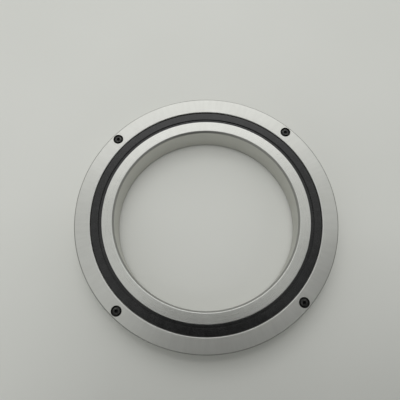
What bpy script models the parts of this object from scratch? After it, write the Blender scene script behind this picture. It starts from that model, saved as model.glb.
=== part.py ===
"""Crossed roller bearing with a split outer ring, a caged roller row and two face seals.

Lengths are in metres and +Z is up. The bearing's axis is the Z axis and its lower faces lie on z = 0.
Profiles are drawn as (radius, height above the middle plane) and turned about that axis.
"""
import math

import bmesh
import bpy

# Radial stack from the bore to the rim, which comes to 70 mm and 100 mm
BORE_RADIUS = 0.070
INNER_WALL = 0.0058
SCREW_WALL = 0.0010
RIM_LAND = 0.0002
RIM_CHAMFER = 0.0010
BORE_CHAMFER = 0.0014

# Clearances
FIT_GAP = 0.0003
RACEWAY_CLEARANCE = 0.000298
ROLLER_END_CLEARANCE = 0.0004
POCKET_CLEARANCE = 0.0003
SPLIT_GAP = 0.0003
SCREW_TIP_CLEARANCE = 0.0010
CUT_OVERSHOOT = 0.0010

# Roller row and cage
CONTACT_ANGLE = math.radians(45)
ROLLER_RADIUS = 0.0055
ROLLER_CHAMFER = 0.0005
CAGE_BAR = 0.0030
CAGE_RIM = 0.0010
LAND_HALF_GAP = 0.0016
RELIEF_HALF_WIDTH = 0.0007
RELIEF_DEPTH = 0.0010

# Seal seats and seals
SEAL_RECESS_DEPTH = 0.0030
OUTER_SEAL_STEP = 0.0024
INNER_SEAL_STEP = 0.0031
SEAL_DROP = 0.0009
SEAL_BAND_WIDTH = 0.0051
SEAL_GROOVE_WIDTH = 0.0007
SEAL_GROOVE_DEPTH = 0.0008
SEAL_LIP_WIDTH = 0.0011
SEAL_LIP_DROP = 0.0002
SEAL_TIP_HEIGHT = 0.0004
SEAL_TIP_CLEARANCE = 0.0004

# Socket head cap screws that hold the outer ring's halves together
SCREW_COUNT = 4
SCREW_FIRST_ANGLE = math.radians(45)
SCREW_SHANK_RADIUS = 0.0015
SCREW_LENGTH = 0.016
SCREW_HEAD_RADIUS = 0.00275
SCREW_HEAD_HEIGHT = 0.0030
SCREW_HEAD_DROP = 0.0002
SCREW_EDGE_BREAK = 0.0003
COUNTERBORE_CLEARANCE = 0.00105
SOCKET_WIDTH = 0.0025
SOCKET_DEPTH = 0.0013

# Oil groove at the parting line, with holes through to the raceway
OIL_GROOVE_HALF_WIDTH = 0.00175
OIL_GROOVE_DEPTH = 0.0010
OIL_HOLE_COUNT = 4
OIL_HOLE_RADIUS = 0.0010

# Fineness of the round pieces
RING_STEPS = 44
ROLLER_STEPS = 12
SCREW_STEPS = 12
OIL_HOLE_STEPS = 8
SMOOTH_ANGLE = math.radians(35)
MERGE_DISTANCE = 0.00001

# Raceways 8.2 mm deep from the rollers' pitch circle, and the rollers between them
RACEWAY_DEPTH = (ROLLER_RADIUS + RACEWAY_CLEARANCE) / math.sin(CONTACT_ANGLE)
ROLLER_LENGTH = 2 * ROLLER_RADIUS - ROLLER_END_CLEARANCE
POCKET_RADIUS = ROLLER_RADIUS + POCKET_CLEARANCE
POCKET_LENGTH = ROLLER_LENGTH + 2 * POCKET_CLEARANCE
PITCH_RADIUS = BORE_RADIUS + INNER_WALL + RACEWAY_DEPTH
ROLLER_COUNT = 2 * int(math.pi * PITCH_RADIUS / (2 * POCKET_RADIUS + CAGE_BAR))

# Screw circle and rim
SCREW_HOLE_RADIUS = SCREW_SHANK_RADIUS + FIT_GAP
COUNTERBORE_RADIUS = SCREW_HEAD_RADIUS + COUNTERBORE_CLEARANCE
SCREW_CIRCLE_RADIUS = PITCH_RADIUS + RACEWAY_DEPTH + SCREW_WALL + SCREW_HOLE_RADIUS
OUTER_RADIUS = SCREW_CIRCLE_RADIUS + COUNTERBORE_RADIUS + RIM_LAND + RIM_CHAMFER

# Heights above the middle plane
CAGE_HALF_WIDTH = RACEWAY_DEPTH + CAGE_RIM
SEAL_FLOOR = CAGE_HALF_WIDTH + FIT_GAP
HALF_WIDTH = SEAL_FLOOR + SEAL_RECESS_DEPTH
LAND_EDGE = RACEWAY_DEPTH - LAND_HALF_GAP
SEAL_TOP = HALF_WIDTH - SEAL_DROP
SEAL_BOTTOM = SEAL_FLOOR + FIT_GAP

# Radii of the two rings' lands and shoulders
OUTER_LAND_RADIUS = PITCH_RADIUS + LAND_HALF_GAP
INNER_LAND_RADIUS = PITCH_RADIUS - LAND_HALF_GAP
SEAL_SEAT_RADIUS = OUTER_LAND_RADIUS + OUTER_SEAL_STEP
SHOULDER_RADIUS = INNER_LAND_RADIUS - INNER_SEAL_STEP

GROUND_STEEL = ("ground_steel", (0.60, 0.60, 0.58), 1.0, 0.34)
ROLLER_STEEL = ("roller_steel", (0.66, 0.66, 0.66), 1.0, 0.14)
SEAL_RUBBER = ("seal_rubber", (0.022, 0.022, 0.023), 0.0, 0.52)
CAGE_NYLON = ("cage_nylon", (0.055, 0.050, 0.045), 0.0, 0.48)
BLACKENED_STEEL = ("blackened_steel", (0.035, 0.034, 0.034), 0.85, 0.42)


def empty_scene():
    """Remove whatever the open file holds."""
    for obj in list(bpy.data.objects):
        bpy.data.objects.remove(obj, do_unlink=True)


def new_collection(name):
    """Make a collection under the scene's own."""
    collection = bpy.data.collections.new(name)
    bpy.context.scene.collection.children.link(collection)
    return collection


def material(name, colour, metallic, roughness):
    """Return the named Principled material, made at its first use."""
    if name in bpy.data.materials:
        return bpy.data.materials[name]
    made = bpy.data.materials.new(name)
    made.use_nodes = True
    shader = made.node_tree.nodes["Principled BSDF"]
    shader.inputs["Base Color"].default_value = (*colour, 1.0)
    shader.inputs["Metallic"].default_value = metallic
    shader.inputs["Roughness"].default_value = roughness
    return made


def shade(mesh):
    """Shade round walls smooth and keep corners sharp."""
    mesh.shade_smooth()
    mesh.set_sharp_from_angle(angle=SMOOTH_ANGLE)


def evaluated_mesh(obj):
    """Return the mesh that an object's modifiers make."""
    depsgraph = bpy.context.evaluated_depsgraph_get()
    mesh = bpy.data.meshes.new_from_object(obj.evaluated_get(depsgraph))
    shade(mesh)
    return mesh


def place(name, mesh, collection, finish, location=(0, 0, 0), rotation=(0, 0, 0)):
    """Add an object with its own finish to a collection."""
    obj = bpy.data.objects.new(name, mesh)
    obj.location = location
    obj.rotation_euler = rotation
    if not mesh.materials:
        mesh.materials.append(material(*finish))
    collection.objects.link(obj)
    return obj


def place_cutter(name, mesh, collection, location=(0, 0, 0), rotation=(0, 0, 0)):
    """Add a hidden cutting tool to a collection."""
    obj = bpy.data.objects.new(name, mesh)
    obj.location = location
    obj.rotation_euler = rotation
    obj.display_type = "WIRE"
    obj.hide_render = True
    collection.objects.link(obj)
    return obj


def turned_mesh(name, profile, steps, closed=True):
    """Turn an outline of (radius, height) points about the Z axis."""
    outline = bpy.data.meshes.new(name + "_outline")
    bm = bmesh.new()
    points = [bm.verts.new((radius, 0, height)) for radius, height in profile]
    for first, second in zip(points, points[1:]):
        bm.edges.new((first, second))
    if closed:
        bm.edges.new((points[-1], points[0]))
    bm.to_mesh(outline)
    bm.free()
    blank = bpy.data.objects.new(name + "_outline", outline)
    bpy.context.scene.collection.objects.link(blank)
    turn = blank.modifiers.new("Turn", "SCREW")
    turn.axis = "Z"
    turn.steps = steps
    turn.render_steps = steps
    turn.use_merge_vertices = True
    turn.merge_threshold = MERGE_DISTANCE
    mesh = evaluated_mesh(blank)
    mesh.name = name
    bpy.data.objects.remove(blank, do_unlink=True)
    return mesh


def cylinder_mesh(name, radius, length, steps, chamfer=0.0):
    """Make a cylinder along Z, centred, with chamfered rims where asked."""
    mesh = bpy.data.meshes.new(name)
    bm = bmesh.new()
    bmesh.ops.create_cone(
        bm, cap_ends=True, segments=steps, radius1=radius, radius2=radius, depth=length
    )
    if chamfer:
        rims = [edge for edge in bm.edges if edge.verts[0].co.z * edge.verts[1].co.z > 0]
        bmesh.ops.bevel(
            bm, geom=rims, offset=chamfer, segments=1, profile=0.5, affect="EDGES", material=-1
        )
    bm.to_mesh(mesh)
    bm.free()
    shade(mesh)
    return mesh


def cut(obj, cutters):
    """Take every object of the cutter collection out of a piece."""
    tool = obj.modifiers.new("Cut", "BOOLEAN")
    tool.operation = "DIFFERENCE"
    tool.solver = "EXACT"
    tool.operand_type = "COLLECTION"
    tool.collection = cutters
    mesh = evaluated_mesh(obj)
    obj.modifiers.clear()
    obj.data = mesh


def mirrored(profile):
    """Mirror an outline in the middle plane and keep its direction."""
    return [(radius, -height) for radius, height in reversed(profile)]


def on_circle(radius, angle, height=HALF_WIDTH):
    """Return a point on a circle about the bearing's axis."""
    return (radius * math.cos(angle), radius * math.sin(angle), height)


def outer_half_profile():
    """Outline the outer ring's upper half, from its seal seat round the rim to the raceway."""
    split = SPLIT_GAP / 2
    groove_floor = OUTER_RADIUS - OIL_GROOVE_DEPTH
    return [
        (SEAL_SEAT_RADIUS, HALF_WIDTH),
        (OUTER_RADIUS - RIM_CHAMFER, HALF_WIDTH),
        (OUTER_RADIUS, HALF_WIDTH - RIM_CHAMFER),
        (OUTER_RADIUS, OIL_GROOVE_HALF_WIDTH),
        (groove_floor, OIL_GROOVE_HALF_WIDTH),
        (groove_floor, split),
        (PITCH_RADIUS + RACEWAY_DEPTH - split, split),
        (OUTER_LAND_RADIUS, LAND_EDGE),
        (OUTER_LAND_RADIUS, SEAL_FLOOR),
        (SEAL_SEAT_RADIUS, SEAL_FLOOR),
    ]


def inner_ring_profile():
    """Outline the one-piece inner ring with its V raceway and relief groove."""
    raceway_foot = PITCH_RADIUS - RACEWAY_DEPTH + RELIEF_HALF_WIDTH
    upper = [
        (BORE_RADIUS, HALF_WIDTH - BORE_CHAMFER),
        (BORE_RADIUS + BORE_CHAMFER, HALF_WIDTH),
        (SHOULDER_RADIUS, HALF_WIDTH),
        (SHOULDER_RADIUS, SEAL_FLOOR),
        (INNER_LAND_RADIUS, SEAL_FLOOR),
        (INNER_LAND_RADIUS, LAND_EDGE),
        (raceway_foot, RELIEF_HALF_WIDTH),
        (raceway_foot - RELIEF_DEPTH, RELIEF_HALF_WIDTH),
    ]
    return upper + mirrored(upper)


def seal_profile():
    """Outline the upper seal: flat band, narrow groove, lip strip and sloping tip."""
    rim = SEAL_SEAT_RADIUS - FIT_GAP
    tip = SHOULDER_RADIUS + SEAL_TIP_CLEARANCE
    band_edge = rim - SEAL_BAND_WIDTH
    lip_edge = band_edge - SEAL_GROOVE_WIDTH
    lip_top = SEAL_TOP - SEAL_LIP_DROP
    return [
        (rim, SEAL_TOP),
        (rim, SEAL_BOTTOM),
        (tip, SEAL_BOTTOM),
        (tip, SEAL_BOTTOM + SEAL_TIP_HEIGHT),
        (lip_edge - SEAL_LIP_WIDTH, lip_top),
        (lip_edge, lip_top),
        ((lip_edge + band_edge) / 2, SEAL_TOP - SEAL_GROOVE_DEPTH),
        (band_edge, SEAL_TOP),
    ]


def cage_profile():
    """Outline the cage band, which runs between the two rings' lands."""
    outer = OUTER_LAND_RADIUS * math.cos(math.pi / RING_STEPS) - FIT_GAP
    inner = (INNER_LAND_RADIUS + FIT_GAP) / math.cos(math.pi / ROLLER_COUNT)
    return [
        (outer, CAGE_HALF_WIDTH),
        (outer, -CAGE_HALF_WIDTH),
        (inner, -CAGE_HALF_WIDTH),
        (inner, CAGE_HALF_WIDTH),
    ]


def screw_profile():
    """Outline a cap screw from the top of its head down to its tip, with z = 0 under the head."""
    return [
        (0, SCREW_HEAD_HEIGHT),
        (SCREW_HEAD_RADIUS - SCREW_EDGE_BREAK, SCREW_HEAD_HEIGHT),
        (SCREW_HEAD_RADIUS, SCREW_HEAD_HEIGHT - SCREW_EDGE_BREAK),
        (SCREW_HEAD_RADIUS, 0),
        (SCREW_SHANK_RADIUS, 0),
        (SCREW_SHANK_RADIUS, SCREW_EDGE_BREAK - SCREW_LENGTH),
        (SCREW_SHANK_RADIUS - SCREW_EDGE_BREAK, -SCREW_LENGTH),
        (0, -SCREW_LENGTH),
    ]


def screw_hole_profile():
    """Outline the counterbored hole round a cap screw, with z = 0 under the head."""
    above = SCREW_HEAD_HEIGHT + SCREW_HEAD_DROP + CUT_OVERSHOOT
    below = -SCREW_LENGTH - SCREW_TIP_CLEARANCE
    return [
        (0, above),
        (COUNTERBORE_RADIUS, above),
        (COUNTERBORE_RADIUS, -FIT_GAP),
        (SCREW_HOLE_RADIUS, -FIT_GAP),
        (SCREW_HOLE_RADIUS, below),
        (0, below),
    ]


def screw_places():
    """Give each screw's place, at the underside of its head, and its angle."""
    height = 2 * HALF_WIDTH - SCREW_HEAD_DROP - SCREW_HEAD_HEIGHT
    for index in range(SCREW_COUNT):
        angle = SCREW_FIRST_ANGLE + index * 2 * math.pi / SCREW_COUNT
        yield on_circle(SCREW_CIRCLE_RADIUS, angle, height), angle


def roller_places():
    """Give each roller's place and turn. Neighbours lean opposite ways, so their axes cross."""
    for index in range(ROLLER_COUNT):
        angle = index * 2 * math.pi / ROLLER_COUNT
        lean = CONTACT_ANGLE if index % 2 == 0 else -CONTACT_ANGLE
        yield on_circle(PITCH_RADIUS, angle), (0, lean, angle)


def ring_cutters(collection):
    """Make the screw holes and the oil holes that pass through both halves."""
    hole = turned_mesh("screw_hole", screw_hole_profile(), SCREW_STEPS, closed=False)
    for index, (location, angle) in enumerate(screw_places(), start=1):
        place_cutter(f"screw_hole_{index}", hole, collection, location, (0, 0, angle))
    start = PITCH_RADIUS + RACEWAY_DEPTH - OIL_HOLE_RADIUS - CUT_OVERSHOOT
    length = OUTER_RADIUS + CUT_OVERSHOOT - start
    oil_hole = cylinder_mesh("oil_hole", OIL_HOLE_RADIUS, length, OIL_HOLE_STEPS)
    for index in range(OIL_HOLE_COUNT):
        angle = index * 2 * math.pi / OIL_HOLE_COUNT
        location = on_circle(start + length / 2, angle)
        rotation = (0, math.pi / 2, angle)
        place_cutter(f"oil_hole_{index + 1}", oil_hole, collection, location, rotation)


def pocket_cutters(collection):
    """Make one cylinder for each roller, which opens its pocket and closes it past the roller's ends."""
    pocket = cylinder_mesh("pocket", POCKET_RADIUS, POCKET_LENGTH, ROLLER_STEPS)
    for index, (location, rotation) in enumerate(roller_places(), start=1):
        place_cutter(f"pocket_{index:02d}", pocket, collection, location, rotation)


def outer_ring(parts, cutters):
    """Make the outer ring's two halves."""
    middle = (0, 0, HALF_WIDTH)
    upper = turned_mesh("outer_ring_upper", outer_half_profile(), RING_STEPS)
    lower = turned_mesh("outer_ring_lower", mirrored(outer_half_profile()), RING_STEPS)
    for mesh in (upper, lower):
        cut(place(mesh.name, mesh, parts, GROUND_STEEL, middle), cutters)


def inner_ring(parts):
    """Make the inner ring, which turns about the bearing's axis."""
    mesh = turned_mesh("inner_ring", inner_ring_profile(), RING_STEPS)
    place("inner_ring", mesh, parts, GROUND_STEEL, (0, 0, HALF_WIDTH))


def seals(parts):
    """Make the two face seals, which sit in the outer ring."""
    middle = (0, 0, HALF_WIDTH)
    upper = turned_mesh("seal_upper", seal_profile(), RING_STEPS)
    lower = turned_mesh("seal_lower", mirrored(seal_profile()), RING_STEPS)
    place("seal_upper", upper, parts, SEAL_RUBBER, middle)
    place("seal_lower", lower, parts, SEAL_RUBBER, middle)


def cage(parts, cutters):
    """Make the cage, with a flat stretch of band at each roller."""
    mesh = turned_mesh("roller_cage", cage_profile(), ROLLER_COUNT)
    half_pitch = math.pi / ROLLER_COUNT
    band = place("roller_cage", mesh, parts, CAGE_NYLON, (0, 0, HALF_WIDTH), (0, 0, half_pitch))
    cut(band, cutters)


def rollers(parts):
    """Make the crossed rollers, each with its origin on its own axis."""
    mesh = cylinder_mesh("roller", ROLLER_RADIUS, ROLLER_LENGTH, ROLLER_STEPS, ROLLER_CHAMFER)
    for index, (location, rotation) in enumerate(roller_places(), start=1):
        place(f"roller_{index:02d}", mesh, parts, ROLLER_STEEL, location, rotation)


def screws(parts, cutters):
    """Make the cap screws, with a hexagon socket in each head."""
    socket = cylinder_mesh("socket", SOCKET_WIDTH / math.sqrt(3), 2 * SOCKET_DEPTH, 6)
    place_cutter("socket", socket, cutters, (0, 0, SCREW_HEAD_HEIGHT))
    mesh = turned_mesh("outer_ring_screw", screw_profile(), SCREW_STEPS, closed=False)
    blank = place("screw_blank", mesh, parts, BLACKENED_STEEL)
    cut(blank, cutters)
    for index, (location, angle) in enumerate(screw_places(), start=1):
        name = f"outer_ring_screw_{index}"
        place(name, blank.data, parts, BLACKENED_STEEL, location, (0, 0, angle))
    bpy.data.objects.remove(blank, do_unlink=True)


def build():
    """Build the whole bearing."""
    empty_scene()
    parts = new_collection("crossed_roller_bearing")
    ring_tools = new_collection("ring_cutters")
    cage_tools = new_collection("cage_cutters")
    screw_tools = new_collection("screw_cutters")
    ring_cutters(ring_tools)
    pocket_cutters(cage_tools)
    outer_ring(parts, ring_tools)
    inner_ring(parts)
    seals(parts)
    cage(parts, cage_tools)
    rollers(parts)
    screws(parts, screw_tools)


build()
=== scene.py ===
"""Looks of a crossed roller bearing: ground rings, crossed rollers, cage, seals and cap screws.

Lengths are in metres and +Z is up. Heights in the outlines are measured from the middle plane,
for the screws from under the head.
"""
import math

import bmesh
import bpy
from mathutils import Euler, Matrix, Vector


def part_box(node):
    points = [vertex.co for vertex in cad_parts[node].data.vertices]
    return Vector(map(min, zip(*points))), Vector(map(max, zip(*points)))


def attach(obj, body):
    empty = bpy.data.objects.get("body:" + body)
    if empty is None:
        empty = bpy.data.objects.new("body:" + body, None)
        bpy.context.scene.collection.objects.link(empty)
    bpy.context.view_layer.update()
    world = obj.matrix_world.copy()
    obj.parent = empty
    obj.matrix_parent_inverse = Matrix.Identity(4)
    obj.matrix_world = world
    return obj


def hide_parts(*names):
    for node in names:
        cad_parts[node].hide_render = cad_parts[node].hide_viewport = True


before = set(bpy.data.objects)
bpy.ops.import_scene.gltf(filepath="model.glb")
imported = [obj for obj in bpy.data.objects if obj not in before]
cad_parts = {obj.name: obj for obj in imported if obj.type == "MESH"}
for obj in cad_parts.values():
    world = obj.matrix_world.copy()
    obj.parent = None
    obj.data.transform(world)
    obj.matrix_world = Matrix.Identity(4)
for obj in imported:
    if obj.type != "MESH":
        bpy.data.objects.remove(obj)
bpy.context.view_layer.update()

# Overall sizes, read from the frame
RIM_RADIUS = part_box("outer_ring_upper")[1].x
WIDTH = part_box("outer_ring_upper")[1].z
HALF_WIDTH = WIDTH / 2
INNER_LAND_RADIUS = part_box("inner_ring")[1].x
SEAL_RIM_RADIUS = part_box("seal_upper")[1].x
SEAL_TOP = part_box("seal_upper")[1].z - HALF_WIDTH
SEAL_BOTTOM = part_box("seal_upper")[0].z - HALF_WIDTH
CAGE_HALF_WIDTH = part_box("roller_cage")[1].z - HALF_WIDTH

# Rings
BORE_RADIUS = 0.070
RIM_CHAMFER = 0.0007
SEAT_CHAMFER = 0.0004
SHOULDER_ROUND = 0.00045
BORE_CHAMFER = 0.0014
BORE_EDGE_ROUND = 0.0004
FIT_GAP = 0.0003
SPLIT_GAP = 0.0003
INNER_WALL = 0.0058
LAND_HALF_GAP = 0.0016
INNER_SEAL_STEP = 0.0031
RELIEF_HALF_WIDTH = 0.0007
RELIEF_DEPTH = 0.0010
OIL_GROOVE_HALF_WIDTH = 0.00175
OIL_GROOVE_DEPTH = 0.0010
OIL_HOLE_RADIUS = 0.0010
OIL_HOLE_COUNT = 4
TOOL_OVERLAP = 0.001

# Roller row
ROLLER_RADIUS = 0.0055
ROLLER_LENGTH = 0.0106
ROLLER_END_ROUND = 0.0005
ROLLER_COUNT = 36
RACEWAY_CLEARANCE = 0.000298
POCKET_CLEARANCE = 0.0003
CONTACT_ANGLE = math.radians(45)
RACEWAY_DEPTH = (ROLLER_RADIUS + RACEWAY_CLEARANCE) / math.sin(CONTACT_ANGLE)
PITCH_RADIUS = BORE_RADIUS + INNER_WALL + RACEWAY_DEPTH

# Places that follow from the sizes above
OUTER_LAND_RADIUS = PITCH_RADIUS + LAND_HALF_GAP
LAND_EDGE = RACEWAY_DEPTH - LAND_HALF_GAP
SHOULDER_RADIUS = INNER_LAND_RADIUS - INNER_SEAL_STEP
SEAL_SEAT_RADIUS = SEAL_RIM_RADIUS + FIT_GAP
SEAL_FLOOR = SEAL_BOTTOM - FIT_GAP

# Seals
SEAL_BAND_WIDTH = 0.0057
SEAL_GROOVE_WIDTH = 0.0009
SEAL_GROOVE_DEPTH = 0.0010
SEAL_GROOVE_SLOPE = 0.0001
SEAL_LIP_DROP = 0.0001
SEAL_TIP_CLEARANCE = 0.00025
SEAL_RIM_ROUND = 0.0005

# Cap screws
SCREW_LENGTH = 0.016
SCREW_HEAD_HEIGHT = 0.0030
SCREW_HEAD_RADIUS = 0.00275
SCREW_HEAD_ROUND = 0.0003
SCREW_HOLE_RADIUS = 0.0018
SCREW_TIP_CLEARANCE = 0.0010
COUNTERBORE_RADIUS = 0.0038
COUNTERBORE_CHAMFER = 0.0002
SOCKET_WIDTH = 0.0025
SOCKET_DEPTH = 0.0013
SOCKET_POINT_DEPTH = 0.0004
THREAD_RADIUS = 0.0015
THREAD_PITCH = 0.0005
THREAD_DEPTH = 0.0003
THREAD_START = -0.0010
THREAD_LENGTH = 0.0145

# Table top, camera, light and the dark things beside the camera
FLOOR_HALF_SIZE = 6.0
CAMERA_LENS = 40.54
CAMERA_SENSOR_WIDTH = 36.0
CAMERA_NEAR_LIMIT = 0.01
CAMERA_PLACE = (-0.00614, -0.09226, 0.35384)
CAMERA_TURN_DEGREES = (17.75, 0.412, -2.49)
CARD_HEIGHT = 0.37
NEAR_CARD_SIZE = (0.40, 0.18)
NEAR_CARD_PLACE = (0.080, -0.145, CARD_HEIGHT)
NEAR_CARD_TURN = math.radians(-6)
SIDE_CARD_SIZE = 0.20
SIDE_CARD_PLACE = (0.27, -0.06, CARD_HEIGHT)
BOARD_SIZE = 0.76
BOARD_PLACE = (0.10, -0.85, 0.55)
PANEL_DISTANCE = 1.2
ROOM_COLOUR = (0.985, 1.0, 0.985, 1.0)
ROOM_STRENGTH = 0.57

# Fineness
RING_STEPS = 256
ROLLER_STEPS = 40
SCREW_STEPS = 40
POCKET_STEPS = 40
OIL_HOLE_STEPS = 24
EDGE_BREAK = 0.00012
CAGE_EDGE_BREAK = 0.0002
SEAL_EDGE_BREAK = 0.00008
ROUNDING_STEP = 0.0001
MERGE_DISTANCE = 0.000002
SHARP_ANGLE = math.radians(40)


# Shapes and places


def turned(profile, steps, closed=True, edge_break=EDGE_BREAK):
    """Turn an outline of (radius, height) points about the Z axis.

    Its corners are rounded by the edge break, or by a point's own third number.
    """
    bm = bmesh.new()
    points = [bm.verts.new((point[0], 0, point[1])) for point in profile]
    pairs = list(zip(points, points[1:]))
    if closed:
        pairs.append((points[-1], points[0]))
    for pair in pairs:
        bm.edges.new(pair)
    corners = {}
    for point, vert in zip(profile, points):
        size = point[2] if len(point) > 2 else edge_break
        if size and (closed or vert not in (points[0], points[-1])):
            corners.setdefault(size, []).append(vert)
    for size, verts in corners.items():
        bmesh.ops.bevel(
            bm, geom=verts, offset=size, segments=max(2, round(size / ROUNDING_STEP)),
            profile=0.5, affect="VERTICES", material=-1,
        )
    outline = bm.verts[:] + bm.edges[:]
    bmesh.ops.spin(
        bm, geom=outline, cent=(0, 0, 0), axis=(0, 0, 1), angle=2 * math.pi,
        steps=steps, use_merge=True, use_duplicate=False,
    )
    bmesh.ops.remove_doubles(bm, verts=bm.verts[:], dist=MERGE_DISTANCE)
    bmesh.ops.recalc_face_normals(bm, faces=bm.faces[:])
    return bm


def mirrored(profile):
    """Mirror an outline in the middle plane."""
    return [(radius, -height, *own) for radius, height, *own in reversed(profile)]


def mesh_of(bm, name):
    """Turn a bmesh into a mesh and free it."""
    mesh = bpy.data.meshes.new(name)
    bm.to_mesh(mesh)
    bm.free()
    return mesh


def copies(mesh, places):
    """Put a copy of a mesh at each place, all in one bmesh."""
    bm = bmesh.new()
    for place in places:
        count = len(bm.verts)
        bm.from_mesh(mesh)
        bm.verts.ensure_lookup_table()
        bmesh.ops.transform(bm, matrix=place, verts=bm.verts[count:])
    return bm


def show(name, mesh):
    """Add an object to the scene."""
    obj = bpy.data.objects.new(name, mesh)
    bpy.context.scene.collection.objects.link(obj)
    return obj


def settle(obj):
    """Apply an object's modifiers to its mesh."""
    depsgraph = bpy.context.evaluated_depsgraph_get()
    mesh = bpy.data.meshes.new_from_object(obj.evaluated_get(depsgraph))
    obj.modifiers.clear()
    obj.data = mesh


def cut(obj, bm):
    """Take a cutting tool's shape out of a piece."""
    tool = show("cutting_tool", mesh_of(bm, "cutting_tool"))
    difference = obj.modifiers.new("Cut", "BOOLEAN")
    difference.operation = "DIFFERENCE"
    difference.solver = "EXACT"
    difference.object = tool
    settle(obj)
    bpy.data.objects.remove(tool, do_unlink=True)


def finished(obj, finish, node, body):
    """Shade a piece, give it its finish and let it stand for its node."""
    obj.data.shade_smooth()
    obj.data.set_sharp_from_angle(angle=SHARP_ANGLE)
    flats = obj.modifiers.new("Flat faces", "WEIGHTED_NORMAL")
    flats.mode = "FACE_AREA"
    flats.weight = 100
    flats.keep_sharp = True
    settle(obj)
    obj.data.materials.clear()
    obj.data.materials.append(finish)
    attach(obj, body)
    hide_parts(node)


def raised(height):
    """Give the matrix that lifts a piece by a height."""
    return Matrix.Translation((0, 0, height))


def on_circle(radius, angle, height):
    """Return a point on a circle about the bearing's axis."""
    return Vector((radius * math.cos(angle), radius * math.sin(angle), height))


def roller_places():
    """Give each roller's matrix. Neighbours lean opposite ways, so their axes cross."""
    for index in range(ROLLER_COUNT):
        angle = index * 2 * math.pi / ROLLER_COUNT
        lean = CONTACT_ANGLE if index % 2 == 0 else -CONTACT_ANGLE
        turn = Euler((0, lean, angle)).to_matrix().to_4x4()
        yield Matrix.Translation(on_circle(PITCH_RADIUS, angle, HALF_WIDTH)) @ turn


def screw_places():
    """Give each screw's matrix, with the head's underside at z = 0, from the frame."""
    for name in sorted(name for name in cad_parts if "screw" in name):
        low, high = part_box(name)
        middle = (low + high) / 2
        angle = math.atan2(middle.y, middle.x)
        place = Vector((middle.x, middle.y, high.z - SCREW_HEAD_HEIGHT))
        yield name, Matrix.Translation(place) @ Matrix.Rotation(angle, 4, "Z")


# Shared shader groups

# Nearly all of a noise texture's values lie in this range
NOISE_RANGE = (0.3, 0.7)
# Height counts beside the radius, so that upright walls get lines too
HEIGHT_WEIGHT = 1.37
LINES_CHANGE_AROUND = 3.0
STREAKS_CHANGE_ACROSS = 60.0
# In widths of the soft edge from the chamfer, and in shares of the reach
CHAMFER_RISE = (-1.5, -0.5)
BAND_FALL = (0.2, 1.0)


def new_group(name, inputs, outputs):
    """Start a shader node group and return it with its input and output sockets."""
    group = bpy.data.node_groups.new(name, "ShaderNodeTree")
    for label, kind, value in inputs:
        socket = group.interface.new_socket(label, in_out="INPUT", socket_type=kind)
        if value is not None:
            socket.default_value = value
    for label, kind in outputs:
        group.interface.new_socket(label, in_out="OUTPUT", socket_type=kind)
    given = group.nodes.new("NodeGroupInput").outputs
    result = group.nodes.new("NodeGroupOutput").inputs
    return group, given, result


def feed(tree, socket, value):
    """Link a socket to another, or set its value."""
    if isinstance(value, bpy.types.NodeSocket):
        tree.links.new(value, socket)
    else:
        socket.default_value = value


def add(tree, kind, inputs=None, **settings):
    """Add a node with its settings and inputs."""
    made = tree.nodes.new(kind)
    for name, value in settings.items():
        setattr(made, name, value)
    for key, value in (inputs or {}).items():
        feed(tree, made.inputs[key], value)
    return made


def calculate(tree, operation, *values):
    """Add a Math node and return its result."""
    made = add(tree, "ShaderNodeMath", dict(enumerate(values)), operation=operation)
    return made.outputs["Value"]


def vector_step(tree, operation, *values):
    """Add a Vector Math node and return it."""
    return add(tree, "ShaderNodeVectorMath", dict(enumerate(values)), operation=operation)


def remap(tree, value, from_low, from_high, to_low, to_high):
    """Map a value smoothly from one range to another."""
    made = add(
        tree, "ShaderNodeMapRange",
        {"Value": value, "From Min": from_low, "From Max": from_high,
         "To Min": to_low, "To Max": to_high},
        interpolation_type="SMOOTHSTEP",
    )
    return made.outputs["Result"]


def mixed(tree, factor, first, second):
    """Mix two colours and return the result. The colour sockets come after those for numbers."""
    made = add(tree, "ShaderNodeMix", data_type="RGBA")
    feed(tree, made.inputs["Factor"], factor)
    feed(tree, made.inputs[6], first)
    feed(tree, made.inputs[7], second)
    return made.outputs[2]


def noise(tree, vector, scale, detail=2.0, roughness=0.5):
    """Add a noise texture and return its value."""
    made = add(
        tree, "ShaderNodeTexNoise",
        {"Vector": vector, "Scale": scale, "Detail": detail, "Roughness": roughness},
    )
    return made.outputs["Fac"]


def grey(level, warmth=0.0):
    """Return a near-neutral colour. Warmth takes some of its blue away."""
    return (level, level, level * (1 - warmth), 1.0)


def turned_place_group():
    """Split a place into its radius, its height and its direction from the axis."""
    group, given, result = new_group(
        "turned_place",
        [("Place", "NodeSocketVector", None), ("Middle Height", "NodeSocketFloat", 0.0)],
        [("Radius", "NodeSocketFloat"), ("Height", "NodeSocketFloat"),
         ("Direction", "NodeSocketVector")],
    )
    axes = add(group, "ShaderNodeSeparateXYZ", {0: given["Place"]})
    flat = add(group, "ShaderNodeCombineXYZ", {0: axes.outputs[0], 1: axes.outputs[1]})
    radius = vector_step(group, "LENGTH", flat.outputs[0]).outputs["Value"]
    direction = vector_step(group, "NORMALIZE", flat.outputs[0]).outputs["Vector"]
    height = calculate(group, "SUBTRACT", axes.outputs[2], given["Middle Height"])
    feed(group, result["Radius"], radius)
    feed(group, result["Height"], height)
    feed(group, result["Direction"], direction)
    return group


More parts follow.
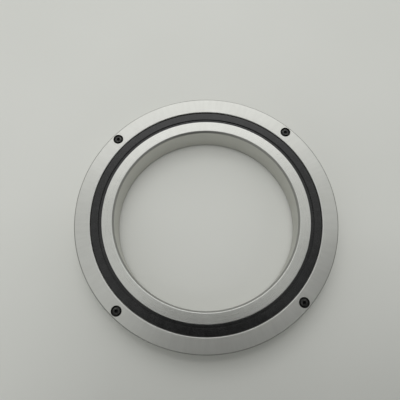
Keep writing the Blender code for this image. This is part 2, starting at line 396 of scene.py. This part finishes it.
def ground_lay_group():
    """Make the fine circular lines that grinding leaves, and the faint streaks across them."""
    group, given, result = new_group(
        "ground_lay",
        [("Radius", "NodeSocketFloat", 0.0), ("Height", "NodeSocketFloat", 0.0),
         ("Direction", "NodeSocketVector", None), ("Line Width", "NodeSocketFloat", 0.00015),
         ("Streaks Around", "NodeSocketFloat", 30.0)],
        [("Lines", "NodeSocketFloat"), ("Streaks", "NodeSocketFloat")],
    )
    slant = calculate(group, "MULTIPLY", given["Height"], HEIGHT_WEIGHT)
    across = calculate(group, "ADD", given["Radius"], slant)
    count = calculate(group, "DIVIDE", across, given["Line Width"])
    line_place = add(group, "ShaderNodeCombineXYZ", {2: count})
    arcs = vector_step(group, "SCALE", given["Direction"])
    arcs.inputs["Scale"].default_value = LINES_CHANGE_AROUND
    lines_at = vector_step(group, "ADD", arcs.outputs["Vector"], line_place.outputs[0])
    lines = noise(group, lines_at.outputs["Vector"], 1.0, detail=3.0, roughness=0.65)
    spokes = vector_step(group, "SCALE", given["Direction"])
    feed(group, spokes.inputs["Scale"], given["Streaks Around"])
    drift = calculate(group, "MULTIPLY", across, STREAKS_CHANGE_ACROSS)
    drift_place = add(group, "ShaderNodeCombineXYZ", {2: drift})
    streaks_at = vector_step(group, "ADD", spokes.outputs["Vector"], drift_place.outputs[0])
    streaks = noise(group, streaks_at.outputs["Vector"], 1.0, detail=4.0, roughness=0.6)
    feed(group, result["Lines"], lines)
    feed(group, result["Streaks"], streaks)
    return group


def chamfer_mask_group():
    """Mask the chamfers, which lie where radius and height add up to a set sum."""
    group, given, result = new_group(
        "chamfer_mask",
        [("Radius", "NodeSocketFloat", 0.0), ("Height", "NodeSocketFloat", 0.0),
         ("Radius Sign", "NodeSocketFloat", 1.0), ("Sum", "NodeSocketFloat", 0.0),
         ("Softness", "NodeSocketFloat", 0.00008)],
        [("Mask", "NodeSocketFloat")],
    )
    above = calculate(group, "ABSOLUTE", given["Height"])
    signed = calculate(group, "MULTIPLY", given["Radius"], given["Radius Sign"])
    total = calculate(group, "ADD", above, signed)
    past = calculate(group, "SUBTRACT", total, given["Sum"])
    share = calculate(group, "DIVIDE", past, given["Softness"])
    feed(group, result["Mask"], remap(group, share, *CHAMFER_RISE, 0.0, 1.0))
    return group


def near_radius_group():
    """Mask a narrow band on both sides of a set radius."""
    group, given, result = new_group(
        "near_radius",
        [("Radius", "NodeSocketFloat", 0.0), ("Edge", "NodeSocketFloat", 0.0),
         ("Reach", "NodeSocketFloat", 0.0004)],
        [("Mask", "NodeSocketFloat")],
    )
    off = calculate(group, "SUBTRACT", given["Radius"], given["Edge"])
    share = calculate(group, "DIVIDE", calculate(group, "ABSOLUTE", off), given["Reach"])
    feed(group, result["Mask"], remap(group, share, *BAND_FALL, 1.0, 0.0))
    return group


def cloudy_group():
    """Make soft clouds with finer specks in them, for moulded and coated surfaces."""
    group, given, result = new_group(
        "cloudy",
        [("Place", "NodeSocketVector", None), ("Cloud Size", "NodeSocketFloat", 0.006),
         ("Speck Size", "NodeSocketFloat", 0.0006)],
        [("Clouds", "NodeSocketFloat"), ("Specks", "NodeSocketFloat")],
    )
    cloud_scale = calculate(group, "DIVIDE", 1.0, given["Cloud Size"])
    speck_scale = calculate(group, "DIVIDE", 1.0, given["Speck Size"])
    clouds = noise(group, given["Place"], cloud_scale)
    specks = noise(group, given["Place"], speck_scale, detail=3.0)
    feed(group, result["Clouds"], clouds)
    feed(group, result["Specks"], specks)
    return group


TURNED_PLACE = turned_place_group()
GROUND_LAY = ground_lay_group()
CHAMFER_MASK = chamfer_mask_group()
NEAR_RADIUS = near_radius_group()
CLOUDY = cloudy_group()


def use_group(tree, group, **inputs):
    """Place a shader group in a tree."""
    made = add(tree, "ShaderNodeGroup", node_tree=group)
    for label, value in inputs.items():
        feed(tree, made.inputs[label.replace("_", " ")], value)
    return made.outputs


# Finishes

# Ground steel: differences from a ring's own level and roughness
STREAK_CONTRAST = 0.015
STAIN_DEPTH = 0.04
# How much darker the bore is painted, as painted shade
BORE_PAINTED_SHADE = 0.14
LINE_ROUGHNESS = 0.05
CHAMFER_ROUGHNESS = 0.18
BORE_ROUGHNESS = 0.15

# Ground steel: tints, shares and reaches
STEEL_WARMTH = 0.05
STAIN_WARMTH = 0.07
BORE_WARMTH = 0.06
STREAK_RANGE = (0.32, 0.68)
STAIN_RANGE = (0.45, 0.75)
STAIN_SHARE = 0.35
# Share of the painted highlight along the chosen edges
EDGE_HIGHLIGHT_SHARE = 0.6
RACEWAY_POLISH = 0.4
# Colour of the painted highlight along the chosen edges
PAINTED_EDGE_HIGHLIGHT = grey(0.80, 0.03)
# Colour of the painted shade on the chamfers
PAINTED_CHAMFER_SHADE = grey(0.33, 0.06)
# Colour of the painted shade in the screw and oil holes
PAINTED_HOLE_SHADE = grey(0.06, 0.08)
STREAKS_IN_RELIEF = 10.0
GRINDING_RELIEF = 0.000004
SHORT_BLEND = 0.0002
LONG_BLEND = 0.002
HOLE_EDGE_INSIDE = 1.005
HOLE_EDGE_OUTSIDE = 1.1

# Other finishes, each from its darkest to its lightest and from its smoothest to its roughest
RUBBER_COLOURS = (grey(0.001), grey(0.006))
RUBBER_PATCH_RANGE = (0.35, 0.65)
RUBBER_WIPED = grey(0.014)
RUBBER_WIPED_RANGE = (0.5, 0.75)
RUBBER_WIPED_SHARE = 0.6
RUBBER_LINES = 0.5
RUBBER_ROUGHNESS = (0.18, 0.34)
RUBBER_RELIEF = 0.000025
NYLON_COLOURS = (grey(0.05, 0.05), grey(0.075, 0.07))
NYLON_ROUGHNESS = (0.42, 0.58)
NYLON_RELIEF = 0.00002
ROLLER_COLOURS = (grey(0.64, 0.04), grey(0.68, 0.04))
ROLLER_ROUGHNESS = (0.08, 0.16)
ROLLER_RELIEF = 0.000001
OXIDE_BLACK = grey(0.008)
OXIDE_TOP_COLOURS = (grey(0.045, 0.04), grey(0.10, 0.06))
OXIDE_TOP_BLEND = 0.0006
OXIDE_PATCH_RANGE = (0.45, 0.7)
OXIDE_ROUGHNESS = (0.30, 0.46)
OXIDE_RELIEF = 0.000006
FLOOR_COLOURS = ((0.622, 0.626, 0.592, 1.0), (0.637, 0.640, 0.607, 1.0))
FLOOR_ROUGHNESS = (0.80, 0.90)
SHADE_COLOUR = grey(0.03)


def new_finish(name, **constants):
    """Start a material and return its tree, its shader and the piece's own place."""
    material = bpy.data.materials.new(name)
    material.use_nodes = True
    tree = material.node_tree
    shader = tree.nodes["Principled BSDF"]
    for label, value in constants.items():
        shader.inputs[label.replace("_", " ")].default_value = value
    place = add(tree, "ShaderNodeTexCoord").outputs["Object"]
    return material, tree, shader, place


def raise_bump(tree, shader, height, distance):
    """Feed a height into the shader's normal."""
    bump = add(tree, "ShaderNodeBump", {"Height": height, "Distance": distance})
    feed(tree, shader.inputs["Normal"], bump.outputs["Normal"])


def screw_hole_mask(tree, place):
    """Mask the screw holes, which mirror each other in both upright planes.

    They end above the lower face, so the mask ends above its chamfer.
    """
    middle = next(screw_places())[1].translation
    corner = (abs(middle.x), abs(middle.y), 0.0)
    folded = vector_step(tree, "ABSOLUTE", place).outputs["Vector"]
    off = vector_step(tree, "SUBTRACT", folded, corner).outputs["Vector"]
    spot = use_group(tree, TURNED_PLACE, Place=off)
    edge = COUNTERBORE_RADIUS + COUNTERBORE_CHAMFER
    hole = remap(tree, spot["Radius"], COUNTERBORE_RADIUS, edge, 1.0, 0.0)
    above_bottom = calculate(tree, "GREATER_THAN", spot["Height"], RIM_CHAMFER)
    return calculate(tree, "MULTIPLY", hole, above_bottom)


def oil_hole_mask(tree, place, radius):
    """Mask the outer ring's oil holes, which lie along both level axes at the middle height."""
    from_middle = vector_step(tree, "SUBTRACT", place, (0.0, 0.0, HALF_WIDTH)).outputs["Vector"]
    along_x = vector_step(tree, "MULTIPLY", from_middle, (0.0, 1.0, 1.0)).outputs["Vector"]
    along_y = vector_step(tree, "MULTIPLY", from_middle, (1.0, 0.0, 1.0)).outputs["Vector"]
    off_x = vector_step(tree, "LENGTH", along_x).outputs["Value"]
    off_y = vector_step(tree, "LENGTH", along_y).outputs["Value"]
    nearest = calculate(tree, "MINIMUM", off_x, off_y)
    inside = OIL_HOLE_RADIUS * HOLE_EDGE_INSIDE
    outside = OIL_HOLE_RADIUS * HOLE_EDGE_OUTSIDE
    hole = remap(tree, nearest, inside, outside, 1.0, 0.0)
    return calculate(tree, "MULTIPLY", hole, calculate(tree, "GREATER_THAN", radius, PITCH_RADIUS))


def ground_steel(name, level, roughness, radius_sign, chamfer_sum, highlight_edges):
    """Finish a ring: ground, polished in the raceway, rougher on chamfers; painted shade on
    chamfers, bore and holes.
    """
    material, tree, shader, place = new_finish(
        name, Metallic=1.0, Anisotropic=0.45, Anisotropic_Rotation=0.25
    )
    spot = use_group(tree, TURNED_PLACE, Place=place, Middle_Height=HALF_WIDTH)
    radius, height, direction = spot["Radius"], spot["Height"], spot["Direction"]
    lay = use_group(tree, GROUND_LAY, Radius=radius, Height=height, Direction=direction)
    cloud = use_group(tree, CLOUDY, Place=place, Cloud_Size=0.02, Speck_Size=0.0012)
    # Mask of the chamfers, which get painted shade and more roughness
    chamfer_shade_and_rough = use_group(
        tree, CHAMFER_MASK, Radius=radius, Height=height, Radius_Sign=radius_sign, Sum=chamfer_sum
    )["Mask"]
    bore = remap(tree, radius, BORE_RADIUS, BORE_RADIUS + SHORT_BLEND, 1.0, 0.0)

    # Colour
    streaks = remap(tree, lay["Streaks"], *STREAK_RANGE, 0.0, 1.0)
    darker = grey(level - STREAK_CONTRAST, STEEL_WARMTH)
    lighter = grey(level + STREAK_CONTRAST, STEEL_WARMTH)
    streaked = mixed(tree, streaks, darker, lighter)
    stains = remap(tree, cloud["Clouds"], *STAIN_RANGE, 0.0, STAIN_SHARE)
    colour = mixed(tree, stains, streaked, grey(level - STAIN_DEPTH, STAIN_WARMTH))
    # Painted highlight: a lighter band along each chosen edge
    for edge in highlight_edges:
        lighter_mask = use_group(tree, NEAR_RADIUS, Radius=radius, Edge=edge)["Mask"]
        colour = mixed(tree, calculate(tree, "MULTIPLY", lighter_mask, EDGE_HIGHLIGHT_SHARE), colour, PAINTED_EDGE_HIGHLIGHT)
    # Painted shade: the bore is coloured darker
    colour = mixed(tree, bore, colour, grey(level - BORE_PAINTED_SHADE, BORE_WARMTH))
    # Painted shade: the chamfers are coloured darker
    colour = mixed(tree, chamfer_shade_and_rough, colour, PAINTED_CHAMFER_SHADE)
    # Painted shade: the screw and oil holes are coloured nearly black
    screw_holes = screw_hole_mask(tree, place)
    oil_holes = oil_hole_mask(tree, place, radius)
    holes = calculate(tree, "MAXIMUM", screw_holes, oil_holes)
    feed(tree, shader.inputs["Base Color"], mixed(tree, holes, colour, PAINTED_HOLE_SHADE))

    # Roughness, with the raceway polished between its foot and the land
    above = calculate(tree, "ABSOLUTE", height)
    outside = remap(tree, above, LAND_EDGE - SHORT_BLEND, LAND_EDGE, 0.0, 1.0)
    inner_foot = BORE_RADIUS + INNER_WALL
    outer_foot = PITCH_RADIUS + RACEWAY_DEPTH
    inward = remap(tree, radius, inner_foot - LONG_BLEND, inner_foot, 0.0, 1.0)
    outward = remap(tree, radius, outer_foot, outer_foot + LONG_BLEND, 1.0, 0.0)
    between = calculate(tree, "MULTIPLY", inward, outward)
    raceway = calculate(tree, "MULTIPLY", between, calculate(tree, "SUBTRACT", 1.0, outside))
    ground = remap(
        tree, lay["Lines"], *NOISE_RANGE, roughness - LINE_ROUGHNESS, roughness + LINE_ROUGHNESS
    )
    polish = remap(tree, raceway, 0.0, 1.0, 1.0, RACEWAY_POLISH)
    polished = calculate(tree, "MULTIPLY", ground, polish)
    rough = calculate(tree, "MULTIPLY_ADD", chamfer_shade_and_rough, CHAMFER_ROUGHNESS, polished)
    rough = calculate(tree, "MULTIPLY_ADD", bore, BORE_ROUGHNESS, rough)
    feed(tree, shader.inputs["Roughness"], rough)
    relief = calculate(tree, "MULTIPLY_ADD", lay["Streaks"], STREAKS_IN_RELIEF, lay["Lines"])
    raise_bump(tree, shader, relief, GRINDING_RELIEF)
    return material


def seal_rubber():
    """Finish a seal: black rubber with a cloudy, slightly wiped surface."""
    material, tree, shader, place = new_finish("seal_rubber", Specular_IOR_Level=0.65)
    spot = use_group(tree, TURNED_PLACE, Place=place, Middle_Height=HALF_WIDTH)
    cloud = use_group(tree, CLOUDY, Place=place, Cloud_Size=0.005, Speck_Size=0.0005)
    lay = use_group(
        tree, GROUND_LAY, Radius=spot["Radius"], Height=spot["Height"],
        Direction=spot["Direction"], Line_Width=0.0004, Streaks_Around=60.0,
    )
    clouds = remap(tree, cloud["Clouds"], *RUBBER_PATCH_RANGE, 0.0, 1.0)
    patches = mixed(tree, clouds, *RUBBER_COLOURS)
    wiped = remap(tree, lay["Streaks"], *RUBBER_WIPED_RANGE, 0.0, RUBBER_WIPED_SHARE)
    feed(tree, shader.inputs["Base Color"], mixed(tree, wiped, patches, RUBBER_WIPED))
    rough = remap(tree, cloud["Specks"], *NOISE_RANGE, *RUBBER_ROUGHNESS)
    feed(tree, shader.inputs["Roughness"], rough)
    relief = calculate(tree, "MULTIPLY_ADD", lay["Lines"], RUBBER_LINES, cloud["Specks"])
    raise_bump(tree, shader, relief, RUBBER_RELIEF)
    return material


def cage_nylon():
    """Finish the cage: dark moulded nylon with a fine eroded grain."""
    material, tree, shader, place = new_finish("cage_nylon")
    cloud = use_group(tree, CLOUDY, Place=place, Cloud_Size=0.008, Speck_Size=0.0003)
    clouds = remap(tree, cloud["Clouds"], *NOISE_RANGE, 0.0, 1.0)
    feed(tree, shader.inputs["Base Color"], mixed(tree, clouds, *NYLON_COLOURS))
    rough = remap(tree, cloud["Specks"], *NOISE_RANGE, *NYLON_ROUGHNESS)
    feed(tree, shader.inputs["Roughness"], rough)
    raise_bump(tree, shader, cloud["Specks"], NYLON_RELIEF)
    return material


def piece_place(tree):
    """Read the place on a piece's own axis, stored on the piece before it was put in place."""
    return add(tree, "ShaderNodeAttribute", attribute_name="own_place").outputs["Vector"]


def roller_steel():
    """Finish a roller: superfinished steel with rings of fine lines round its own axis."""
    material, tree, shader, _ = new_finish("roller_steel", Metallic=1.0)
    spot = use_group(tree, TURNED_PLACE, Place=piece_place(tree))
    lay = use_group(
        tree, GROUND_LAY, Radius=spot["Radius"], Height=spot["Height"],
        Direction=spot["Direction"], Line_Width=0.00008, Streaks_Around=12.0,
    )
    streaks = remap(tree, lay["Streaks"], *NOISE_RANGE, 0.0, 1.0)
    feed(tree, shader.inputs["Base Color"], mixed(tree, streaks, *ROLLER_COLOURS))
    rough = remap(tree, lay["Lines"], *NOISE_RANGE, *ROLLER_ROUGHNESS)
    feed(tree, shader.inputs["Roughness"], rough)
    raise_bump(tree, shader, lay["Lines"], ROLLER_RELIEF)
    return material


def blackened_steel():
    """Finish a screw: black oxide, lighter in cloudy patches on top of the head."""
    material, tree, shader, _ = new_finish("blackened_steel", Metallic=0.9)
    place = piece_place(tree)
    spot = use_group(tree, TURNED_PLACE, Place=place)
    cloud = use_group(tree, CLOUDY, Place=place, Cloud_Size=0.0016, Speck_Size=0.00015)
    # Lighter cloudy patches on the top of the head
    lighter_mask = remap(tree, cloud["Clouds"], *OXIDE_PATCH_RANGE, 0.0, 1.0)
    top_patches = mixed(tree, lighter_mask, *OXIDE_TOP_COLOURS)
    below_top = SCREW_HEAD_HEIGHT - OXIDE_TOP_BLEND
    top = remap(tree, spot["Height"], below_top, SCREW_HEAD_HEIGHT, 0.0, 1.0)
    feed(tree, shader.inputs["Base Color"], mixed(tree, top, OXIDE_BLACK, top_patches))
    rough = remap(tree, cloud["Specks"], *NOISE_RANGE, *OXIDE_ROUGHNESS)
    feed(tree, shader.inputs["Roughness"], rough)
    raise_bump(tree, shader, cloud["Specks"], OXIDE_RELIEF)
    return material


def pale_floor():
    """Finish the table top."""
    material, tree, shader, place = new_finish("pale_floor", Specular_IOR_Level=0.2)
    cloud = use_group(tree, CLOUDY, Place=place, Cloud_Size=0.15, Speck_Size=0.001)
    clouds = remap(tree, cloud["Clouds"], *NOISE_RANGE, 0.0, 1.0)
    feed(tree, shader.inputs["Base Color"], mixed(tree, clouds, *FLOOR_COLOURS))
    rough = remap(tree, cloud["Specks"], *NOISE_RANGE, *FLOOR_ROUGHNESS)
    feed(tree, shader.inputs["Roughness"], rough)
    return material


# Camera, table top and light


def camera():
    """Look down on the bearing from the front."""
    lens = bpy.data.cameras.new("camera")
    lens.lens = CAMERA_LENS
    lens.sensor_width = CAMERA_SENSOR_WIDTH
    lens.clip_start = CAMERA_NEAR_LIMIT
    holder = show("camera", lens)
    holder.location = CAMERA_PLACE
    holder.rotation_euler = [math.radians(angle) for angle in CAMERA_TURN_DEGREES]
    bpy.context.scene.camera = holder


def table_top():
    """Lay a plain pale floor under the bearing."""
    bm = bmesh.new()
    bmesh.ops.create_grid(bm, x_segments=1, y_segments=1, size=FLOOR_HALF_SIZE)
    floor = show("table_top", mesh_of(bm, "table_top"))
    floor.data.materials.append(pale_floor())


def soft_panel(name, azimuth, elevation, width, height, power, mirrored_in):
    """Hang a soft light panel that faces the bearing.

    A panel either shows in reflections or lights the table and casts the shadows.
    """
    lamp = bpy.data.lights.new(name, "AREA")
    lamp.shape = "RECTANGLE"
    lamp.size = width
    lamp.size_y = height
    lamp.energy = power
    holder = show(name, lamp)
    across = math.cos(math.radians(elevation))
    aim = Vector((
        across * math.cos(math.radians(azimuth)),
        across * math.sin(math.radians(azimuth)),
        math.sin(math.radians(elevation)),
    ))
    holder.location = aim * PANEL_DISTANCE
    holder.rotation_euler = aim.to_track_quat("Z", "Y").to_euler()
    holder.visible_glossy = mirrored_in
    holder.visible_diffuse = not mirrored_in


def camera_shade():
    """Hang two dark cards beside the camera and stand a dark board in front of the table."""
    # The near card is a square of 1 m, scaled to its two sizes and turned
    bm = bmesh.new()
    turn = Matrix.Rotation(NEAR_CARD_TURN, 3, "Z")
    bmesh.ops.create_grid(bm, x_segments=1, y_segments=1, size=0.5)
    bmesh.ops.scale(bm, vec=(*NEAR_CARD_SIZE, 1.0), verts=bm.verts[:])
    bmesh.ops.rotate(bm, matrix=turn, verts=bm.verts[:])
    bmesh.ops.translate(bm, vec=NEAR_CARD_PLACE, verts=bm.verts[:])
    bmesh.ops.create_grid(
        bm, x_segments=1, y_segments=1, size=SIDE_CARD_SIZE / 2,
        matrix=Matrix.Translation(SIDE_CARD_PLACE),
    )
    upright = Matrix.Rotation(math.pi / 2, 4, "X")
    bmesh.ops.create_grid(
        bm, x_segments=1, y_segments=1, size=BOARD_SIZE / 2,
        matrix=Matrix.Translation(BOARD_PLACE) @ upright,
    )
    card = show("camera_shade", mesh_of(bm, "camera_shade"))
    material, tree, shader, _ = new_finish("camera_shade")
    feed(tree, shader.inputs["Base Color"], SHADE_COLOUR)
    card.data.materials.append(material)
    card.visible_camera = False


def light():
    """Light the table from above and behind. A low panel and a grey room show in the steel."""
    soft_panel(
        "ceiling_panel", azimuth=90, elevation=89, width=0.4, height=0.4, power=3.0,
        mirrored_in=False,
    )
    soft_panel(
        "rear_panel", azimuth=102, elevation=70, width=0.8, height=0.8, power=3.6,
        mirrored_in=False,
    )
    soft_panel(
        "window_panel", azimuth=91, elevation=42, width=1.5, height=0.95, power=3.65,
        mirrored_in=True,
    )
    world = bpy.data.worlds.new("room")
    bpy.context.scene.world = world
    world.use_nodes = True
    background = world.node_tree.nodes["Background"]
    background.inputs["Color"].default_value = ROOM_COLOUR
    background.inputs["Strength"].default_value = ROOM_STRENGTH
    bpy.context.scene.view_settings.view_transform = "Standard"


# Pieces


def outer_half_profile():
    """Outline the outer ring's upper half."""
    split = SPLIT_GAP / 2
    groove_floor = RIM_RADIUS - OIL_GROOVE_DEPTH
    return [
        (SEAL_SEAT_RADIUS, HALF_WIDTH - SEAT_CHAMFER),
        (SEAL_SEAT_RADIUS + SEAT_CHAMFER, HALF_WIDTH),
        (RIM_RADIUS - RIM_CHAMFER, HALF_WIDTH),
        (RIM_RADIUS, HALF_WIDTH - RIM_CHAMFER),
        (RIM_RADIUS, OIL_GROOVE_HALF_WIDTH),
        (groove_floor, OIL_GROOVE_HALF_WIDTH),
        (groove_floor, split),
        (PITCH_RADIUS + RACEWAY_DEPTH - split, split),
        (OUTER_LAND_RADIUS, LAND_EDGE),
        (OUTER_LAND_RADIUS, SEAL_FLOOR),
        (SEAL_SEAT_RADIUS, SEAL_FLOOR),
    ]


def inner_ring_profile():
    """Outline the inner ring."""
    raceway_foot = PITCH_RADIUS - RACEWAY_DEPTH + RELIEF_HALF_WIDTH
    upper = [
        (BORE_RADIUS, HALF_WIDTH - BORE_CHAMFER),
        (BORE_RADIUS + BORE_CHAMFER, HALF_WIDTH, BORE_EDGE_ROUND),
        (SHOULDER_RADIUS, HALF_WIDTH, SHOULDER_ROUND),
        (SHOULDER_RADIUS, SEAL_FLOOR),
        (INNER_LAND_RADIUS, SEAL_FLOOR),
        (INNER_LAND_RADIUS, LAND_EDGE),
        (raceway_foot, RELIEF_HALF_WIDTH),
        (raceway_foot - RELIEF_DEPTH, RELIEF_HALF_WIDTH),
    ]
    return upper + mirrored(upper)


def seal_profile():
    """Outline the upper seal: flat band, narrow groove and the lip strip beside the inner ring."""
    tip = SHOULDER_RADIUS + SEAL_TIP_CLEARANCE
    band_edge = SEAL_RIM_RADIUS - SEAL_BAND_WIDTH
    lip_edge = band_edge - SEAL_GROOVE_WIDTH
    lip_top = SEAL_TOP - SEAL_LIP_DROP
    groove_floor = SEAL_TOP - SEAL_GROOVE_DEPTH
    return [
        (SEAL_RIM_RADIUS, SEAL_TOP, SEAL_RIM_ROUND),
        (SEAL_RIM_RADIUS, SEAL_BOTTOM),
        (tip, SEAL_BOTTOM),
        (tip, lip_top),
        (lip_edge, lip_top),
        (lip_edge + SEAL_GROOVE_SLOPE, groove_floor),
        (band_edge - SEAL_GROOVE_SLOPE, groove_floor),
        (band_edge, SEAL_TOP),
    ]


def cage_profile():
    """Outline the cage band between the two rings' lands."""
    outer = OUTER_LAND_RADIUS - FIT_GAP
    inner = INNER_LAND_RADIUS + FIT_GAP
    return [
        (outer, CAGE_HALF_WIDTH),
        (outer, -CAGE_HALF_WIDTH),
        (inner, -CAGE_HALF_WIDTH),
        (inner, CAGE_HALF_WIDTH),
    ]


def ring_blank(node, profile, edge_break=EDGE_BREAK):
    """Turn a full ring about the bearing's axis and put it at its height."""
    bm = turned(profile, RING_STEPS, edge_break=edge_break)
    bmesh.ops.transform(bm, matrix=raised(HALF_WIDTH), verts=bm.verts[:])
    return show(node + "_fine", mesh_of(bm, node))


def ring_tools():
    """Make one tool with the counterbored screw holes and the oil holes."""
    # The screw hole's heights start under the screw's head
    ring_face = SCREW_HEAD_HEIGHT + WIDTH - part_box("outer_ring_screw_1")[1].z
    mouth = COUNTERBORE_RADIUS + COUNTERBORE_CHAMFER + TOOL_OVERLAP
    end = -SCREW_LENGTH - SCREW_TIP_CLEARANCE
    hole = turned(
        [
            (0, ring_face + TOOL_OVERLAP),
            (mouth, ring_face + TOOL_OVERLAP),
            (COUNTERBORE_RADIUS, ring_face - COUNTERBORE_CHAMFER),
            (COUNTERBORE_RADIUS, -FIT_GAP),
            (SCREW_HOLE_RADIUS, -FIT_GAP),
            (SCREW_HOLE_RADIUS, end),
            (0, end - SCREW_HOLE_RADIUS / 2),
        ],
        SCREW_STEPS, closed=False, edge_break=0,
    )
    bm = copies(mesh_of(hole, "screw_hole"), [place for _, place in screw_places()])
    start = PITCH_RADIUS + RACEWAY_DEPTH - OIL_HOLE_RADIUS - TOOL_OVERLAP
    length = RIM_RADIUS + TOOL_OVERLAP - start
    for index in range(OIL_HOLE_COUNT):
        angle = index * 2 * math.pi / OIL_HOLE_COUNT
        turn = Euler((0, math.pi / 2, angle)).to_matrix().to_4x4()
        bmesh.ops.create_cone(
            bm, cap_ends=True, segments=OIL_HOLE_STEPS, depth=length,
            radius1=OIL_HOLE_RADIUS, radius2=OIL_HOLE_RADIUS,
            matrix=Matrix.Translation(on_circle(start + length / 2, angle, HALF_WIDTH)) @ turn,
        )
    return bm


def rings():
    """Make the outer ring's halves and the inner ring."""
    # Both finishes paint a highlight along the listed edges and shade on their chamfer
    outer_finish = ground_steel(
        "ground_steel_outer", level=0.675, roughness=0.36,
        radius_sign=1.0, chamfer_sum=RIM_RADIUS - RIM_CHAMFER + HALF_WIDTH,
        highlight_edges=[SEAL_SEAT_RADIUS + SEAT_CHAMFER],
    )
    inner_finish = ground_steel(
        "ground_steel_inner", level=0.710, roughness=0.31,
        radius_sign=-1.0, chamfer_sum=HALF_WIDTH - BORE_CHAMFER - BORE_RADIUS,
        highlight_edges=[SHOULDER_RADIUS - SHOULDER_ROUND, BORE_RADIUS + BORE_CHAMFER + BORE_EDGE_ROUND],
    )
    halves = {
        "outer_ring_upper": outer_half_profile(),
        "outer_ring_lower": mirrored(outer_half_profile()),
    }
    for node, profile in halves.items():
        half = ring_blank(node, profile)
        cut(half, ring_tools())
        finished(half, outer_finish, node, "outer_ring")
    ring = ring_blank("inner_ring", inner_ring_profile())
    finished(ring, inner_finish, "inner_ring", "inner_ring")


def seals():
    """Make the two face seals."""
    finish = seal_rubber()
    profiles = {"seal_upper": seal_profile(), "seal_lower": mirrored(seal_profile())}
    for node, profile in profiles.items():
        seal = ring_blank(node, profile, edge_break=SEAL_EDGE_BREAK)
        finished(seal, finish, node, "outer_ring")


def cage():
    """Make the cage band and open a pocket for each roller."""
    band = ring_blank("roller_cage", cage_profile(), edge_break=CAGE_EDGE_BREAK)
    pockets = bmesh.new()
    pocket_radius = ROLLER_RADIUS + POCKET_CLEARANCE
    pocket_length = ROLLER_LENGTH + 2 * POCKET_CLEARANCE
    for place in roller_places():
        bmesh.ops.create_cone(
            pockets, cap_ends=True, segments=POCKET_STEPS, depth=pocket_length,
            radius1=pocket_radius, radius2=pocket_radius, matrix=place,
        )
    cut(band, pockets)
    finished(band, cage_nylon(), "roller_cage", "cage")


def keep_own_place(bm):
    """Store each point's place on the piece's own axis, for its finish."""
    layer = bm.verts.layers.float_vector.new("own_place")
    for vert in bm.verts:
        vert[layer] = vert.co


def rollers():
    """Make the crossed rollers, each a turned piece on its own axis."""
    finish = roller_steel()
    end = ROLLER_LENGTH / 2
    profile = [(0, end), (ROLLER_RADIUS, end), (ROLLER_RADIUS, -end), (0, -end)]
    for index, place in enumerate(roller_places(), start=1):
        bm = turned(profile, ROLLER_STEPS, closed=False, edge_break=ROLLER_END_ROUND)
        keep_own_place(bm)
        bmesh.ops.transform(bm, matrix=place, verts=bm.verts[:])
        node = f"roller_{index:02d}"
        roller = show(node + "_fine", mesh_of(bm, node))
        finished(roller, finish, node, node)


def socket_tool():
    """Make the hexagon socket, which ends in a shallow point."""
    bm = bmesh.new()
    corner_radius = SOCKET_WIDTH / math.cos(math.radians(30)) / 2
    bmesh.ops.create_cone(
        bm, cap_ends=True, segments=6, radius1=corner_radius, radius2=corner_radius,
        depth=2 * SOCKET_DEPTH, matrix=raised(SCREW_HEAD_HEIGHT),
    )
    floor = min(bm.faces, key=lambda face: face.calc_center_median().z)
    bmesh.ops.poke(bm, faces=[floor], offset=SOCKET_POINT_DEPTH)
    return bm


def thread_points():
    """Outline the thread ridges of a screw's shank, from the head downwards."""
    points = []
    for turn in range(round(THREAD_LENGTH / THREAD_PITCH)):
        ridge = THREAD_START - turn * THREAD_PITCH
        points.append((THREAD_RADIUS, ridge, 0))
        points.append((THREAD_RADIUS - THREAD_DEPTH, ridge - THREAD_PITCH / 2, 0))
    return points


def screws():
    """Make the cap screws."""
    finish = blackened_steel()
    profile = [
        (0, SCREW_HEAD_HEIGHT),
        (SCREW_HEAD_RADIUS, SCREW_HEAD_HEIGHT, SCREW_HEAD_ROUND),
        (SCREW_HEAD_RADIUS, 0),
        (THREAD_RADIUS, 0),
        *thread_points(),
        (THREAD_RADIUS - THREAD_DEPTH, -SCREW_LENGTH),
        (0, -SCREW_LENGTH),
    ]
    for node, place in screw_places():
        bm = turned(profile, SCREW_STEPS, closed=False)
        blank = show(node + "_fine", mesh_of(bm, node))
        cut(blank, socket_tool())
        bm = bmesh.new()
        bm.from_mesh(blank.data)
        keep_own_place(bm)
        bmesh.ops.transform(bm, matrix=place, verts=bm.verts[:])
        bm.to_mesh(blank.data)
        bm.free()
        finished(blank, finish, node, "outer_ring")


camera()
table_top()
camera_shade()
light()
rings()
seals()
cage()
rollers()
screws()
